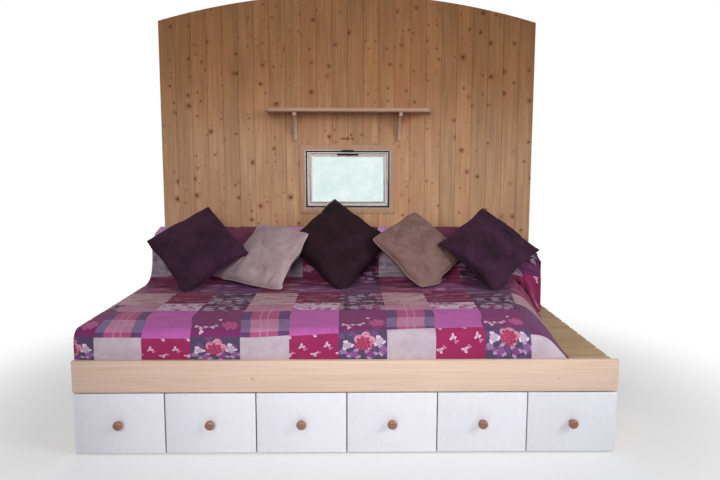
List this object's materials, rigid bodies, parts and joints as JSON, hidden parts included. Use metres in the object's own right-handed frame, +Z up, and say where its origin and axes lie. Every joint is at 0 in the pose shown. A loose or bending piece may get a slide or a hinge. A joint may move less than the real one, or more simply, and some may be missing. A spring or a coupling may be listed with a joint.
{
  "type": "shepherds hut end wall with built-in drawer bed",
  "caption": "Boarded end wall of a shepherds hut under an arched roof line, with a small metal window, a shelf and a built-in drawer bed made up with quilt and scatter cushions",
  "frame": {"origin": "middle of the underside of the end wall's sole plate, on the floor", "axes": "+X runs along the wall to the right as seen from the room, +Y goes through the wall from the room to the outside, +Z up"},
  "size_m": [2.2, 1.526, 2.1399],
  "materials": {
    "pine_boards": "clear lacquered knotty pine, satin",
    "pine_planed": "planed pine, clear satin",
    "framing_timber": "sawn softwood, bare",
    "plywood": "birch plywood, bare",
    "window_metal": "mill aluminium, satin",
    "gasket": "black rubber, matt",
    "glass": "clear float glass",
    "black_metal": "black, satin",
    "white_paint": "white eggshell paint on board",
    "knob_pine": "turned pine, amber varnish, gloss",
    "mattress_ticking": "woven ticking",
    "quilt_cotton": "patchwork cotton, quilted",
    "plum_velvet": "plum velvet pile",
    "aubergine_velvet": "very dark plum velvet pile",
    "cream_suede": "soft suede-like weave",
    "beige_suede": "soft suede-like weave"
  },
  "bodies": {
    "hut_end": {"sole_plate": "framing_timber", "corner_post_left": "framing_timber", "corner_post_right": "framing_timber", "arched_top_rail": "framing_timber", "wall_studs": "framing_timber", "bed_slats": "framing_timber", "lining_left": "pine_boards", "lining_right": "pine_boards", "lining_above_window": "pine_boards", "lining_below_window": "pine_boards", "cladding_left": "pine_boards", "cladding_right": "pine_boards", "cladding_above_window": "pine_boards", "cladding_below_window": "pine_boards", "window_frame": "window_metal", "window_sash": "window_metal", "window_gasket": "gasket", "window_glass": "glass", "window_pull": "black_metal", "window_trim_inside": "pine_planed", "window_trim_outside": "pine_planed", "shelf_board": "pine_planed", "shelf_bracket_left": "pine_planed", "shelf_bracket_right": "pine_planed", "bed_front_rail": "pine_planed", "bed_end_left": "pine_planed", "bed_end_right": "pine_planed", "bed_divider_1": "pine_planed", "bed_divider_2": "pine_planed", "bed_divider_3": "pine_planed", "bed_divider_4": "pine_planed", "bed_divider_5": "pine_planed", "bed_floor": "plywood", "mattress": "mattress_ticking", "back_bolster": "mattress_ticking", "end_bolster": "mattress_ticking", "quilt": "quilt_cotton", "cushion_1_plum": "plum_velvet", "cushion_5_plum": "plum_velvet", "cushion_3_large_plum": "aubergine_velvet", "cushion_2_cream": "cream_suede", "cushion_4_beige": "beige_suede"},
    "drawer_1": {"drawer_front_1": "white_paint", "drawer_box_1": "plywood", "drawer_knob_1": "knob_pine"},
    "drawer_2": {"drawer_front_2": "white_paint", "drawer_box_2": "plywood", "drawer_knob_2": "knob_pine"},
    "drawer_3": {"drawer_front_3": "white_paint", "drawer_box_3": "plywood", "drawer_knob_3": "knob_pine"},
    "drawer_4": {"drawer_front_4": "white_paint", "drawer_box_4": "plywood", "drawer_knob_4": "knob_pine"},
    "drawer_5": {"drawer_front_5": "white_paint", "drawer_box_5": "plywood", "drawer_knob_5": "knob_pine"},
    "drawer_6": {"drawer_front_6": "white_paint", "drawer_box_6": "plywood", "drawer_knob_6": "knob_pine"}
  },
  "joints": [
    {"name": "drawer_1_slide", "type": "slide", "parent": "hut_end", "child": "drawer_1", "axis": [0, -1, 0], "range_m": [0, 0.42]},
    {"name": "drawer_2_slide", "type": "slide", "parent": "hut_end", "child": "drawer_2", "axis": [0, -1, 0], "range_m": [0, 0.42]},
    {"name": "drawer_3_slide", "type": "slide", "parent": "hut_end", "child": "drawer_3", "axis": [0, -1, 0], "range_m": [0, 0.42]},
    {"name": "drawer_4_slide", "type": "slide", "parent": "hut_end", "child": "drawer_4", "axis": [0, -1, 0], "range_m": [0, 0.42]},
    {"name": "drawer_5_slide", "type": "slide", "parent": "hut_end", "child": "drawer_5", "axis": [0, -1, 0], "range_m": [0, 0.42]},
    {"name": "drawer_6_slide", "type": "slide", "parent": "hut_end", "child": "drawer_6", "axis": [0, -1, 0], "range_m": [0, 0.42]}
  ]
}
